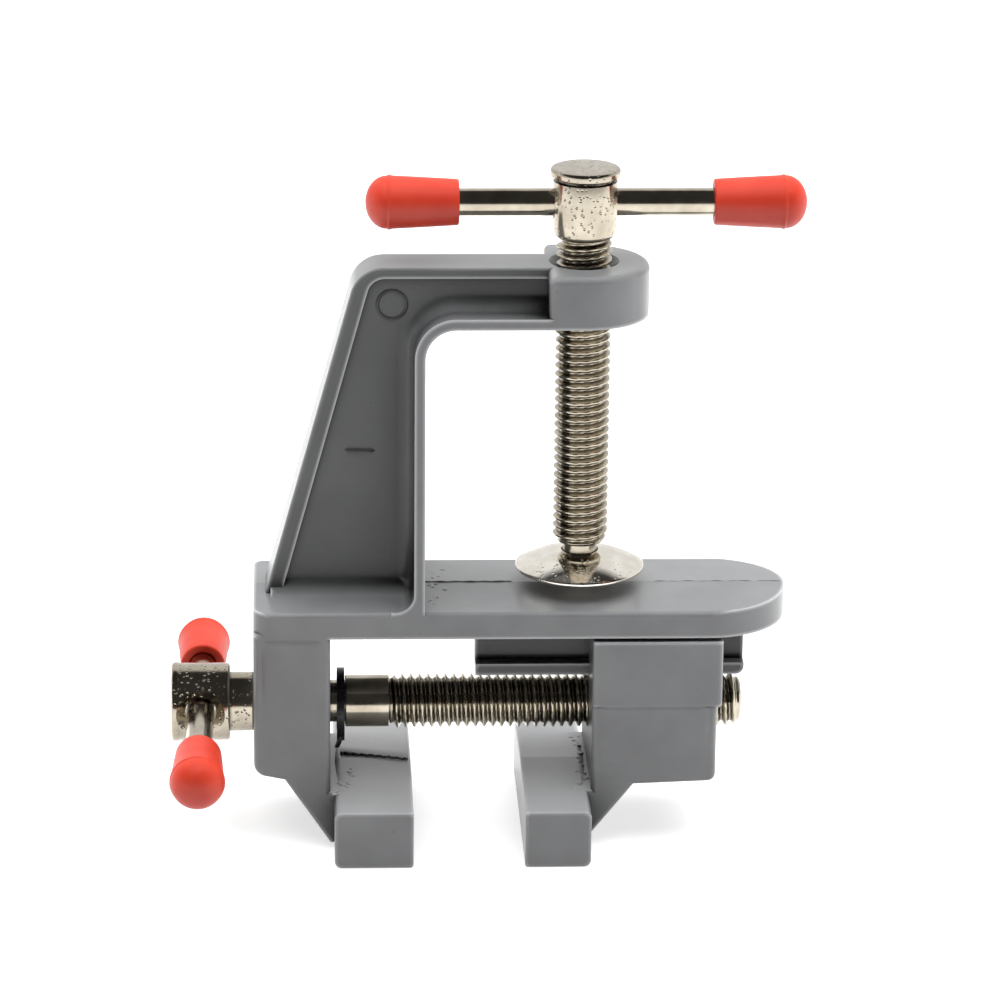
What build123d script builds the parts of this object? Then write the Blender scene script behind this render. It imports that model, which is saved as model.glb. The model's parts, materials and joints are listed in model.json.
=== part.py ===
from build123d import *
import os
from math import radians, sqrt, tan

# Clamp-on mini bench vise, standing on its jaw ends, as it is photographed.
# X runs along the jaw screw, Y across the jaws, Z along the clamp screw, in millimetres.
# The origin is on the table face, where the axis of the clamp screw meets it.
# Y = 0 is the parting plane of both castings and holds the axes of both screws.

os.makedirs("parts", exist_ok=True)

# Castings: plate, fixed block and jaws
jaw_width = 38.0            # jaw bars, across Y
jaw_end_height = 8.35        # jaw bar at its ends, along Z
fixed_jaw_thickness = 11.2  # along X
moving_jaw_thickness = 9.4
jaw_opening = 15.85          # gap between the jaws at rest
jaw_back_radius = 1.0       # long edges away from the gripping face
jaw_grip_radius = 0.4       # long edges at the gripping face
jaw_end_radius = 0.35       # round the two ends
draft_angle = 2.9           # slope of the cast top faces, up to the parting plane
casting_depth = 23.3        # plate and blocks, across Y
casting_edge_radius = 0.7
plate_thickness = 4.45
plate_reach = 29.45          # from the clamp screw's axis to the rounded end
plate_end_radius = 11.6
plate_corner_radius = 2.4   # corners beside the fixed block
block_outer_x = -46.7       # left face of the fixed block
block_length = 10.9
block_drop = 25.0           # table face to the underside of the fixed block
block_corner_radius = 2.0
jaw_drop = 36.4             # table face to the jaw ends
fixed_jaw_set_back = 0.55   # jaw bar's back beyond the block's inner face
brace_run = 6.5             # sloping brace between fixed block and jaw, along X
brace_rise = 0.8            # where the brace meets the jaw, above the jaw end
brace_step = 0.9            # fall of the block's underside before the brace
brace_root = 2.2            # how far a brace is cast into its jaw

# Moving jaw
moving_block_length = 17.85
moving_block_drop = 26.4    # table face to its underside
moving_block_corner_radius = 1.2
moving_jaw_set_back = 0.25  # block's inner face behind the jaw bar's back
moving_brace_run = 6.1      # its brace, as on the fixed block
moving_brace_rise = 1.8
moving_brace_step = 0.45
slide_gap = 0.3             # moving jaw to rail, all round
plate_gap = 0.6             # moving block to the plate's underside
shoulder_height = 9.9       # upper part of the moving block that stands proud
shoulder_proud = 0.7        # at its outer end
shoulder_swell = 0.2        # at its sides

# Guide rail under the plate, a T in section
rail_start_x = -14.95
rail_length = 38.6
rail_depth = 8.3            # plate underside to rail bottom
rail_web = 4.4              # across Y
rail_flange = 8.4
rail_flange_height = 1.7
rail_corner_radius = 1.2

# C-frame: column, arm and boss
throat_height = 40.35        # table face to the arm's underside
arm_height = 7.5
column_inner_x = -22.45
column_foot_x = -44.95       # outer edge of the column at the table face
column_top_x = -31.85        # the same edge, carried up to the arm's top
column_corner_radius = 4.8
throat_corner_radius = 4.3
web_thickness = 6.7         # across Y
rim_height = 0.6            # raised outer border, on each side of the web
rim_width = 2.3             # along the slanted edge
rim_edge_radius = 0.5
top_rim_width = 1.5
flange_thickness = 1.5      # inner flange of the T section
flange_fillet = 2.2         # where the flange meets the web
ledge_radius = 2.7          # where the flange meets the plate
web_foot_radius = 3.0       # cove where the web meets the plate
web_foot_bite = 0.1         # how far the cove's arc runs into web and plate
boss_radius = 9.25
boss_flat_x = -5.3          # where the boss ends towards the column, with straight sides up to there
boss_edge_radius = 1.0
boss_countersink_radius = 5.0

# Screws, both of 8 mm thread, drawn at the thread's outside diameter
thread_diameter = 7.85
thread_gap = 0.06           # radial running clearance in the castings
thread_chamfer = 0.8

# Jaw screw, along X
screw_drop = 18.15           # table face to the jaw screw's axis
jaw_head_diameter = 11.2
jaw_head_length = 8.4
jaw_head_chamfer = 0.5
collar_diameter = 8.6       # between head and block
collar_length = 3.4
collar_gap = 0.05           # collar to block
groove_diameter = 6.1
groove_length = 2.2
screw_shoulder_diameter = 7.5  # plain length right of the clip
screw_shoulder_length = 6.4
jaw_thread_length = 50.75

# Retaining clip in the groove
clip_diameter = 10.6
clip_thickness = 1.1
clip_gap = 0.1              # clip to the groove's right wall
clip_mouth = 4.6
clip_relief_diameter = 7.8
clip_lug_width = 2.2
clip_lug_length = 2.2       # half of it inside the ring's relief
clip_shift = 0.5            # ring's centre below the screw's axis

# Clamp screw, along Z
clamp_head_diameter = 9.4
clamp_head_height = 10.0
clamp_disc_diameter = 9.9   # disc on top of the head
clamp_disc_height = 1.2
clamp_disc_chamfer = 0.35
clamp_foot_diameter = 8.7   # head, at its underside
clamp_taper_height = 3.0
clamp_head_gap = 3.5        # boss top to head, at rest
clamp_bar_height = 5.0      # head's underside to the handle bar's axis
neck_diameter = 5.0
neck_gap = 1.2              # bare neck between thread and foot
button_diameter = 7.2       # peened end that holds the foot
button_thickness = 0.9

# Swivel foot, a domed steel disc
foot_diameter = 18.4
foot_height = 2.9
foot_wall = 0.9
foot_rim_height = 0.5
foot_gap = 2.3              # table face to the foot's rim, at rest
foot_play = 0.15            # foot to neck and to button

# Handle bars and caps
bar_diameter = 3.9
bar_length = 57.3
bar_chamfer = 0.4
bar_hole_gap = 0.3          # radial, bar to head
jaw_hole_mouth = 7.0        # countersink of the cross hole in the jaw screw
clamp_hole_mouth = 5.2      # and in the clamp screw
cap_length = 13.1
cap_mouth_diameter = 6.5
cap_ridge_diameter = 7.75
cap_dome_length = 3.0
cap_end_wall = 2.3
clamp_bar_shift = 0.2       # to the right of the screw's axis
jaw_bar_shift = 3.3         # towards the front

# Places worked out from the sizes above
half_depth = casting_depth / 2
half_web = web_thickness / 2
half_rim = half_web + rim_height
plate_edge_z = -half_depth * tan(radians(draft_angle))
plate_bottom_z = -plate_thickness
jaw_end_z = -jaw_drop
jaw_edge_z = jaw_end_z + jaw_end_height
jaw_ridge_z = jaw_edge_z + jaw_width / 2 * tan(radians(draft_angle))
brace_root_z = (jaw_edge_z + jaw_ridge_z) / 2
arm_top_z = throat_height + arm_height
web_foot_y = half_web + web_foot_radius
web_foot_z = web_foot_radius - web_foot_y * tan(radians(draft_angle))
rail_bottom_z = plate_bottom_z - rail_depth
rail_flange_z = rail_bottom_z + rail_flange_height
screw_z = -screw_drop
block_inner_x = block_outer_x + block_length
fixed_jaw_back_x = block_inner_x + fixed_jaw_set_back
fixed_jaw_x = fixed_jaw_back_x + fixed_jaw_thickness
moving_jaw_x = fixed_jaw_x + jaw_opening
moving_jaw_back_x = moving_jaw_x + moving_jaw_thickness
moving_block_x = moving_jaw_back_x + moving_jaw_set_back
moving_block_end_x = moving_block_x + moving_block_length
moving_block_top_z = plate_bottom_z - plate_gap
shoulder_length = moving_block_length + shoulder_proud
thread_radius = thread_diameter / 2
bore_radius = thread_radius + thread_gap
bar_radius = bar_diameter / 2
bar_hole_radius = bar_radius + bar_hole_gap
jaw_screw_axis = Axis((0, 0, screw_z), (1, 0, 0))
jaw_screw_plane = Plane(origin=(0, 0, screw_z), x_dir=(1, 0, 0), z_dir=(0, -1, 0))


def jaw_bar(back_x, grip_x):
    """Jaw bar between its back and its gripping face: flat end, upright faces, and a top with a ridge."""
    with BuildPart() as bar:
        with BuildSketch(Plane.YZ.offset(back_x)):
            with BuildLine():
                Polyline(
                    (-jaw_width / 2, jaw_end_z),
                    (jaw_width / 2, jaw_end_z),
                    (jaw_width / 2, jaw_edge_z),
                    (0, jaw_ridge_z),
                    (-jaw_width / 2, jaw_edge_z),
                    close=True,
                )
            make_face()
        extrude(amount=grip_x - back_x)
        for face_x, radius in ((back_x, jaw_back_radius), (grip_x, jaw_grip_radius)):
            border = bar.edges().filter_by(lambda edge: abs(edge.center().X - face_x) < 0.01)
            fillet(border.filter_by(Axis.Z, reverse=True), radius)
        ends = bar.faces().filter_by(Axis.Y)
        fillet(ends.edges(), jaw_end_radius)
    return bar.part


def block_with_brace(outer_x, inner_x, top_z, bottom_z, corner_radius, run, rise, step):
    """Block with a sloping brace (run, rise, step) down to the jaw on its inner side."""
    root_x = inner_x + brace_root * (inner_x - outer_x) / abs(inner_x - outer_x)
    knee_x = inner_x + run * (outer_x - inner_x) / abs(outer_x - inner_x)
    with BuildPart() as block:
        with BuildSketch(Plane.XZ) as profile:
            with BuildLine():
                Polyline(
                    (outer_x, top_z),
                    (outer_x, bottom_z),
                    (knee_x, bottom_z - step),
                    (inner_x, jaw_end_z + rise),
                    (root_x, jaw_end_z + rise),
                    (root_x, brace_root_z),
                    (inner_x, brace_root_z),
                    (inner_x, top_z),
                    close=True,
                )
            make_face()
            corner = profile.vertices().sort_by_distance((outer_x, bottom_z))[0]
            fillet(corner, corner_radius)
        extrude(amount=half_depth, both=True)
        sides = block.faces().filter_by(Axis.Y)
        fillet(sides.edges(), casting_edge_radius)
    return block.part


def cross_hole(plane, head_radius, mouth_diameter):
    """Hole for a handle bar along the plane's normal, countersunk at both mouths."""
    sink = mouth_diameter / 2 - bar_hole_radius
    with Locations(plane):
        Cylinder(bar_hole_radius, 3 * head_radius, mode=Mode.SUBTRACT)
    for side in (1, -1):
        mouth = Plane(
            origin=plane.origin + plane.z_dir * side * (head_radius - sink),
            x_dir=plane.x_dir,
            z_dir=plane.z_dir * side,
        )
        with Locations(mouth):
            Cone(
                bar_hole_radius,
                bar_hole_radius + 2 * sink,
                2 * sink,
                align=(Align.CENTER, Align.CENTER, Align.MIN),
                mode=Mode.SUBTRACT,
            )


def handle_bar(plane):
    """Plain bar centred on the plane's origin, along its normal."""
    with BuildPart() as bar:
        with Locations(plane):
            Cylinder(bar_radius, bar_length)
        ends = bar.edges().filter_by(GeomType.CIRCLE)
        chamfer(ends, bar_chamfer)
    return bar.part


def handle_cap(plane, side):
    """Soft cap pushed on one end of a bar: a cone that widens to a ridge, then a blunt dome."""
    outward = plane.z_dir * side
    mouth_distance = bar_length / 2 + cap_end_wall - cap_length
    cap_plane = Plane(
        origin=plane.origin + outward * mouth_distance,
        x_dir=outward,
        z_dir=plane.x_dir,
    )
    ridge_distance = cap_length - cap_dome_length
    bore_depth = cap_length - cap_end_wall
    with BuildPart() as cap:
        with BuildSketch(cap_plane):
            with BuildLine():
                Polyline(
                    (cap_length, 0),
                    (bore_depth, 0),
                    (bore_depth, bar_radius),
                    (0, bar_radius),
                    (0, cap_mouth_diameter / 2),
                    (ridge_distance, cap_ridge_diameter / 2),
                )
                EllipticalCenterArc(
                    (ridge_distance, 0),
                    cap_dome_length,
                    cap_ridge_diameter / 2,
                    start_angle=0,
                    arc_size=90,
                )
            make_face()
        revolve(axis=Axis(cap_plane.origin, outward))
    return cap.part


def is_flange_root(point):
    """True for a place on the line where the inner flange meets the web."""
    flange_x = column_inner_x - flange_thickness
    flange_z = throat_height + flange_thickness
    upright = abs(point.X - flange_x) < 0.01
    level = abs(point.Z - flange_z) < 0.01
    corner = flange_x < point.X < flange_x + 3 and flange_z - 3 < point.Z < flange_z
    return upright or level or corner


def column_edge_x(height):
    """Outer slanted edge of the column at a height above the table face."""
    return column_foot_x + (column_top_x - column_foot_x) * height / arm_top_z


# Inner flange of the C-frame: it lines the throat and narrows from the plate to the boss.
with BuildPart() as throat_flange:
    with BuildSketch(Plane.XZ) as flange_path:
        flange_outer_x = column_inner_x - flange_thickness
        flange_outer_z = throat_height + flange_thickness
        ledge_x = flange_outer_x - 1.2 * ledge_radius
        with BuildLine():
            Polyline(
                (column_inner_x, plate_bottom_z),
                (column_inner_x, throat_height),
                (0, throat_height),
                (0, flange_outer_z),
                (flange_outer_x, flange_outer_z),
                (flange_outer_x, plate_edge_z),
                (ledge_x, plate_edge_z),
                (ledge_x, plate_bottom_z),
                close=True,
            )
        make_face()
        ledge_corner = flange_path.vertices().sort_by_distance((flange_outer_x, plate_edge_z))[0]
        fillet(ledge_corner, ledge_radius)
        inner_corner = flange_path.vertices().sort_by_distance((column_inner_x, throat_height))[0]
        fillet(inner_corner, throat_corner_radius)
        outer_corner = flange_path.vertices().sort_by_distance((flange_outer_x, flange_outer_z))[0]
        fillet(outer_corner, throat_corner_radius + flange_thickness)
    extrude(amount=half_depth, both=True)
    with BuildSketch(Plane.YZ) as flange_envelope:
        with BuildLine():
            Polyline(
                (-half_depth, plate_bottom_z),
                (half_depth, plate_bottom_z),
                (half_depth, plate_edge_z),
                (boss_radius, throat_height),
                (boss_radius, arm_top_z),
                (-boss_radius, arm_top_z),
                (-boss_radius, throat_height),
                (-half_depth, plate_edge_z),
                close=True,
            )
        make_face()
    extrude(amount=-column_foot_x, both=True, mode=Mode.INTERSECT)

# Column and arm: a web with a raised outer rim on both sides, and the flange across its inner edge
with BuildPart() as column:
    with BuildSketch(Plane.XZ) as web_outline:
        with BuildLine():
            Polyline(
                (column_foot_x, plate_edge_z),
                (column_foot_x, 0),
                (column_top_x, arm_top_z),
                (0, arm_top_z),
                (0, throat_height),
                (column_inner_x, throat_height),
                (column_inner_x, plate_edge_z),
                close=True,
            )
        make_face()
        top_corner = web_outline.vertices().sort_by_distance((column_top_x, arm_top_z))[0]
        fillet(top_corner, column_corner_radius)
        inner_corner = web_outline.vertices().sort_by_distance((column_inner_x, throat_height))[0]
        fillet(inner_corner, throat_corner_radius)
    extrude(amount=half_rim, both=True)
    sides = column.faces().filter_by(Axis.Y)
    fillet(sides.edges(), rim_edge_radius)

    for side in (1, -1):
        with BuildSketch(Plane.XZ.offset(side * half_web)) as recess:
            recess_top_z = arm_top_z - top_rim_width
            recess_corner = (column_edge_x(recess_top_z) + rim_width, recess_top_z)
            with BuildLine():
                Polyline(
                    (column_edge_x(plate_bottom_z) + rim_width, plate_bottom_z),
                    recess_corner,
                    (0, recess_top_z),
                    (0, plate_bottom_z),
                    close=True,
                )
            make_face()
            top_corner = recess.vertices().sort_by_distance(recess_corner)[0]
            fillet(top_corner, column_corner_radius - rim_width)
        extrude(amount=side * rim_height, mode=Mode.SUBTRACT)

    add(throat_flange.part)
    on_web = column.edges().filter_by(lambda edge: abs(abs(edge.center().Y) - half_web) < 0.01)
    flange_root = on_web.filter_by(lambda edge: is_flange_root(edge.center()))
    fillet(flange_root, flange_fillet)

# Coves at the foot of the web, one on each side
with BuildPart() as web_foot:
    web_foot_x = column_edge_x(web_foot_z)
    with BuildSketch(Plane.YZ.offset(web_foot_x)):
        with Locations((0, plate_edge_z)):
            Rectangle(2 * web_foot_y, web_foot_z - plate_edge_z, align=(Align.CENTER, Align.MIN))
        with Locations((web_foot_y, web_foot_z), (-web_foot_y, web_foot_z)):
            Circle(web_foot_radius + web_foot_bite, mode=Mode.SUBTRACT)
    extrude(amount=column_inner_x - flange_thickness - web_foot_x)

with BuildPart() as boss:
    with BuildSketch(Plane.XY.offset(throat_height)):
        Circle(boss_radius)
        Rectangle(boss_radius, 2 * boss_radius, align=(Align.MAX, Align.CENTER))
        with Locations((boss_flat_x, 0)):
            Rectangle(
                boss_radius,
                2 * boss_radius,
                align=(Align.MAX, Align.CENTER),
                mode=Mode.SUBTRACT,
            )
    extrude(amount=arm_height)
    boss_edges = boss.edges().group_by(Axis.Z)
    fillet(boss_edges[1] + boss_edges[2], boss_edge_radius)

# Frame casting: plate, fixed block and jaw, guide rail, column, arm and boss in one piece
with BuildPart() as frame_casting:
    with BuildSketch(Plane.YZ.offset(block_outer_x)) as plate_section:
        with BuildLine():
            Polyline(
                (-half_depth, plate_bottom_z),
                (half_depth, plate_bottom_z),
                (half_depth, plate_edge_z),
                (0, 0),
                (-half_depth, plate_edge_z),
                close=True,
            )
        make_face()
        for side in (1, -1):
            brim = plate_section.vertices().sort_by_distance((side * half_depth, plate_edge_z))[0]
            fillet(brim, casting_edge_radius)
    extrude(amount=plate_reach - block_outer_x)
    with BuildSketch(Plane.XY.offset(plate_bottom_z)) as plate_outline:
        with Locations((block_outer_x, 0)):
            Rectangle(
                plate_reach - block_outer_x, casting_depth, align=(Align.MIN, Align.CENTER)
            )
        corners = plate_outline.vertices().sort_by(Axis.X)
        fillet(corners[2:], plate_end_radius)
        corners = plate_outline.vertices().sort_by(Axis.X)
        fillet(corners[:2], plate_corner_radius)
    extrude(amount=plate_thickness, mode=Mode.INTERSECT)

    add(
        block_with_brace(
            block_outer_x,
            block_inner_x,
            plate_bottom_z + casting_edge_radius,
            -block_drop,
            block_corner_radius,
            brace_run,
            brace_rise,
            brace_step,
        )
    )
    add(jaw_bar(fixed_jaw_back_x, fixed_jaw_x))

    with BuildSketch(Plane.YZ.offset(rail_start_x)) as rail_section:
        with BuildLine():
            Polyline(
                (-rail_web / 2, plate_bottom_z),
                (-rail_web / 2, rail_flange_z),
                (-rail_flange / 2, rail_flange_z),
                (-rail_flange / 2, rail_bottom_z),
                (rail_flange / 2, rail_bottom_z),
                (rail_flange / 2, rail_flange_z),
                (rail_web / 2, rail_flange_z),
                (rail_web / 2, plate_bottom_z),
                close=True,
            )
        make_face()
    extrude(amount=rail_length)
    rail_end = (rail_start_x + rail_length, 0, rail_bottom_z)
    fillet(frame_casting.edges().filter_by(Axis.Y).sort_by_distance(rail_end)[0], rail_corner_radius)

    add(column.part)
    add(web_foot.part)
    add(boss.part)
    with Locations((0, 0, arm_top_z)):
        CounterSinkHole(bore_radius, boss_countersink_radius, depth=2 * arm_height)
    with Locations(Plane(origin=(block_outer_x, 0, screw_z), z_dir=(-1, 0, 0))):
        Hole(bore_radius, depth=block_length)
frame_casting.part.label = "frame_casting"
export_step(frame_casting.part, "parts/frame_casting.step")

# Shoulder of the moving block: its upper part, proud of the rest at the outer end and the sides
with BuildPart() as shoulder:
    with Locations((moving_block_x, 0, moving_block_top_z)):
        Box(
            shoulder_length,
            casting_depth + 2 * shoulder_swell,
            shoulder_height,
            align=(Align.MIN, Align.CENTER, Align.MAX),
        )
    fillet(shoulder.edges().filter_by(Axis.Z), casting_edge_radius)
    chamfer(shoulder.edges().group_by(Axis.Z)[0], shoulder_swell)
    fillet(shoulder.edges().group_by(Axis.Z)[-1], shoulder_swell)

# Moving jaw: block, shoulder, brace and jaw bar, with the T slot that rides on the rail
with BuildPart() as moving_jaw:
    add(
        block_with_brace(
            moving_block_end_x,
            moving_block_x,
            moving_block_top_z,
            -moving_block_drop,
            moving_block_corner_radius,
            moving_brace_run,
            moving_brace_rise,
            moving_brace_step,
        )
    )
    add(shoulder.part)
    add(jaw_bar(moving_jaw_back_x, moving_jaw_x))
    with BuildSketch(Plane.YZ.offset(moving_block_x)) as slot_section:
        slot_web = rail_web / 2 + slide_gap
        slot_flange = rail_flange / 2 + slide_gap
        slot_top_z = rail_flange_z + slide_gap
        slot_bottom_z = rail_bottom_z - slide_gap
        with BuildLine():
            Polyline(
                (-slot_web, moving_block_top_z),
                (-slot_web, slot_top_z),
                (-slot_flange, slot_top_z),
                (-slot_flange, slot_bottom_z),
                (slot_flange, slot_bottom_z),
                (slot_flange, slot_top_z),
                (slot_web, slot_top_z),
                (slot_web, moving_block_top_z),
                close=True,
            )
        make_face()
    extrude(amount=shoulder_length, mode=Mode.SUBTRACT)
    with Locations(Plane(origin=(moving_block_x + shoulder_length, 0, screw_z), z_dir=(1, 0, 0))):
        Hole(bore_radius, depth=shoulder_length)
moving_jaw.part.label = "moving_jaw"
export_step(moving_jaw.part, "parts/moving_jaw.step")

# Jaw screw: head with a cross hole, collar, clip groove, shoulder and threaded length
collar_end_x = block_outer_x - collar_gap
head_inner_x = collar_end_x - collar_length
head_outer_x = head_inner_x - jaw_head_length
groove_start_x = block_inner_x
groove_end_x = groove_start_x + groove_length
jaw_thread_x = groove_end_x + screw_shoulder_length
jaw_screw_end_x = jaw_thread_x + jaw_thread_length
jaw_head_radius = jaw_head_diameter / 2
jaw_bar_x = head_inner_x - jaw_head_length / 2
jaw_hole_plane = Plane(origin=(jaw_bar_x, 0, screw_z), x_dir=(1, 0, 0), z_dir=(0, 1, 0))
with BuildPart() as jaw_screw:
    with BuildSketch(jaw_screw_plane):
        with BuildLine():
            Polyline(
                (head_outer_x, 0),
                (head_outer_x, jaw_head_radius - jaw_head_chamfer),
                (head_outer_x + jaw_head_chamfer, jaw_head_radius),
                (head_inner_x, jaw_head_radius),
                (head_inner_x, collar_diameter / 2),
                (collar_end_x, collar_diameter / 2),
                (collar_end_x, thread_radius),
                (groove_start_x, thread_radius),
                (groove_start_x, groove_diameter / 2),
                (groove_end_x, groove_diameter / 2),
                (groove_end_x, screw_shoulder_diameter / 2),
                (jaw_thread_x, screw_shoulder_diameter / 2),
                (jaw_thread_x, thread_radius),
                (jaw_screw_end_x - thread_chamfer, thread_radius),
                (jaw_screw_end_x, thread_radius - thread_chamfer),
                (jaw_screw_end_x, 0),
                close=True,
            )
        make_face()
    revolve(axis=jaw_screw_axis)
    cross_hole(jaw_hole_plane, jaw_head_radius, jaw_hole_mouth)
jaw_screw.part.label = "jaw_screw"
export_step(jaw_screw.part, "parts/jaw_screw.step")

# Retaining clip: an open ring that holds the groove with three lugs
clip_x = groove_end_x - clip_gap - clip_thickness
clip_plane = Plane(origin=(clip_x, 0, screw_z), x_dir=(0, 1, 0), z_dir=(1, 0, 0))
with BuildPart() as jaw_screw_clip:
    with BuildSketch(clip_plane):
        with Locations((0, -clip_shift)):
            Circle(clip_diameter / 2)
        Circle(clip_relief_diameter / 2, mode=Mode.SUBTRACT)
        with PolarLocations(groove_diameter / 2, 3, -20, 220):
            Rectangle(clip_lug_length, clip_lug_width)
        Circle(groove_diameter / 2, mode=Mode.SUBTRACT)
        with Locations((0, -clip_diameter / 2 - clip_shift)):
            Rectangle(clip_mouth, clip_diameter / 2, mode=Mode.SUBTRACT)
    extrude(amount=clip_thickness)
jaw_screw_clip.part.label = "jaw_screw_clip"
export_step(jaw_screw_clip.part, "parts/jaw_screw_clip.step")

# Swivel foot: a spherical dome of sheet steel with a hole for the screw's neck
foot_radius = foot_diameter / 2
foot_top_z = foot_gap + foot_height
dome_rise = foot_height - foot_rim_height
dome_radius = (foot_radius**2 + dome_rise**2) / (2 * dome_rise)
dome_centre_z = foot_top_z - dome_radius
inner_dome_radius = dome_radius - foot_wall
foot_hole_radius = neck_diameter / 2 + foot_play


def dome_height(radius, sphere_radius):
    """Height of a sphere about the dome's centre, at a distance from the screw's axis."""
    return dome_centre_z + sqrt(sphere_radius**2 - radius**2)


inner_rim_radius = sqrt(inner_dome_radius**2 - (foot_gap - dome_centre_z) ** 2)
with BuildPart() as clamp_foot:
    with BuildSketch(Plane.XZ):
        with BuildLine():
            RadiusArc(
                (foot_hole_radius, dome_height(foot_hole_radius, dome_radius)),
                (foot_radius, foot_gap + foot_rim_height),
                dome_radius,
            )
            Polyline(
                (foot_radius, foot_gap + foot_rim_height),
                (foot_radius, foot_gap),
                (inner_rim_radius, foot_gap),
            )
            RadiusArc(
                (inner_rim_radius, foot_gap),
                (foot_hole_radius, dome_height(foot_hole_radius, inner_dome_radius)),
                -inner_dome_radius,
            )
            Line(
                (foot_hole_radius, dome_height(foot_hole_radius, inner_dome_radius)),
                (foot_hole_radius, dome_height(foot_hole_radius, dome_radius)),
            )
        make_face()
    revolve(axis=Axis.Z)
clamp_foot.part.label = "clamp_foot"
export_step(clamp_foot.part, "parts/clamp_foot.step")

# Clamp screw: head with a cross hole, threaded length, neck and peened button
clamp_head_z = arm_top_z + clamp_head_gap
clamp_head_top_z = clamp_head_z + clamp_head_height
clamp_thread_z = foot_top_z + neck_gap
button_radius = button_diameter / 2
button_top_z = dome_height(button_radius, inner_dome_radius) - foot_play
clamp_head_radius = clamp_head_diameter / 2
clamp_disc_radius = clamp_disc_diameter / 2
clamp_bar_z = clamp_head_z + clamp_bar_height
clamp_hole_plane = Plane(origin=(0, 0, clamp_bar_z), x_dir=(0, 0, 1), z_dir=(1, 0, 0))
with BuildPart() as clamp_screw:
    with BuildSketch(Plane.XZ):
        with BuildLine():
            Polyline(
                (0, button_top_z - button_thickness),
                (button_radius, button_top_z - button_thickness),
                (button_radius, button_top_z),
                (neck_diameter / 2, button_top_z),
                (neck_diameter / 2, clamp_thread_z),
                (thread_radius - thread_chamfer, clamp_thread_z),
                (thread_radius, clamp_thread_z + thread_chamfer),
                (thread_radius, clamp_head_z),
                (clamp_foot_diameter / 2, clamp_head_z),
                (clamp_head_radius, clamp_head_z + clamp_taper_height),
                (clamp_head_radius, clamp_head_top_z - clamp_disc_height),
                (clamp_disc_radius, clamp_head_top_z - clamp_disc_height),
                (clamp_disc_radius, clamp_head_top_z - clamp_disc_chamfer),
                (clamp_disc_radius - clamp_disc_chamfer, clamp_head_top_z),
                (0, clamp_head_top_z),
                close=True,
            )
        make_face()
    revolve(axis=Axis.Z)
    cross_hole(clamp_hole_plane, clamp_head_radius, clamp_hole_mouth)
clamp_screw.part.label = "clamp_screw"
export_step(clamp_screw.part, "parts/clamp_screw.step")

# Handle bars and their caps
jaw_bar_plane = Plane(
    origin=(jaw_bar_x, -jaw_bar_shift, screw_z), x_dir=(1, 0, 0), z_dir=(0, 1, 0)
)
clamp_bar_plane = Plane(
    origin=(clamp_bar_shift, 0, clamp_bar_z), x_dir=(0, 0, 1), z_dir=(1, 0, 0)
)
handle_pieces = {
    "jaw_handle_bar": handle_bar(jaw_bar_plane),
    "jaw_handle_cap_front": handle_cap(jaw_bar_plane, -1),
    "jaw_handle_cap_rear": handle_cap(jaw_bar_plane, 1),
    "clamp_handle_bar": handle_bar(clamp_bar_plane),
    "clamp_handle_cap_left": handle_cap(clamp_bar_plane, -1),
    "clamp_handle_cap_right": handle_cap(clamp_bar_plane, 1),
}
for piece_name, piece in handle_pieces.items():
    piece.label = piece_name
    export_step(piece, f"parts/{piece_name}.step")
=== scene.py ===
# %% [markdown]
# # A clamp-on mini bench vise
#
# The solids of the vise come from its CAD model and stay where they are. Blender adds what a drawing leaves
# out: real threads on the two screws, drilled heads, soft caps, marks of the casting mould, and the finish
# of each material. The scene is in metres, but the sizes below are written in millimetres, as on a workshop
# drawing.

# %% Load the frame
import json

import bmesh
import bpy
import numpy as np
from mathutils import Matrix, Vector

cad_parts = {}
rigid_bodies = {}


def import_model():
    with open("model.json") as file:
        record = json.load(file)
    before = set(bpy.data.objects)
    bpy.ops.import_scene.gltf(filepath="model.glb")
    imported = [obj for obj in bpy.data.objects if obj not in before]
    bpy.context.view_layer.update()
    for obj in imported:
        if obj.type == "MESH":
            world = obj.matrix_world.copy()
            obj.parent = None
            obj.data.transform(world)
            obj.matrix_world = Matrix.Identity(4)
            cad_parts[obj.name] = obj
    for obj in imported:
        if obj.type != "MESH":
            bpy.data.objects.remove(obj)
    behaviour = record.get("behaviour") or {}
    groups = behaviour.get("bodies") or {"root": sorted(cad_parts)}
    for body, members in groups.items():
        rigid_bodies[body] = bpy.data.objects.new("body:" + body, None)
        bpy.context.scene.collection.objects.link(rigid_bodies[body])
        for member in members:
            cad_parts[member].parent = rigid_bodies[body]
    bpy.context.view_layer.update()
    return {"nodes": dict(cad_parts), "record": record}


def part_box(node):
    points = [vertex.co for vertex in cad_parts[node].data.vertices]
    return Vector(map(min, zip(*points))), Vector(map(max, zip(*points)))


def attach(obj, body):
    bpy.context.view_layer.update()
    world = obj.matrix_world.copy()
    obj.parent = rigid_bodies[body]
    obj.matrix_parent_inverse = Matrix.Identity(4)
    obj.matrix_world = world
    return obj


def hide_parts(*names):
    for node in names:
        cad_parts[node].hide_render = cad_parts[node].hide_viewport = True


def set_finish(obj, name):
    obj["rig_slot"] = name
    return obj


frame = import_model()
MM = 0.001
print("CAD nodes:", sorted(frame["nodes"]))


# %% [markdown]
# ## Camera
#
# A product photographer stands well back with a long lens, so that upright edges stay nearly parallel. The
# camera is placed by three angles about a target point: azimuth and elevation say where it stands, roll
# turns it about its own view. The lens follows from the focal length in pixels, because the picture is 1001
# pixels wide.

# %% Place the camera
PICTURE_PIXELS = 1001
SENSOR_MM = 36.0
camera_azimuth, camera_elevation, camera_roll = np.radians([-2.574, 18.754, 0.608])
camera_distance_mm = 684.25
focal_pixels = 4795.26
camera_target_mm = np.array([-11.408, 0.0, 12.296])


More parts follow.
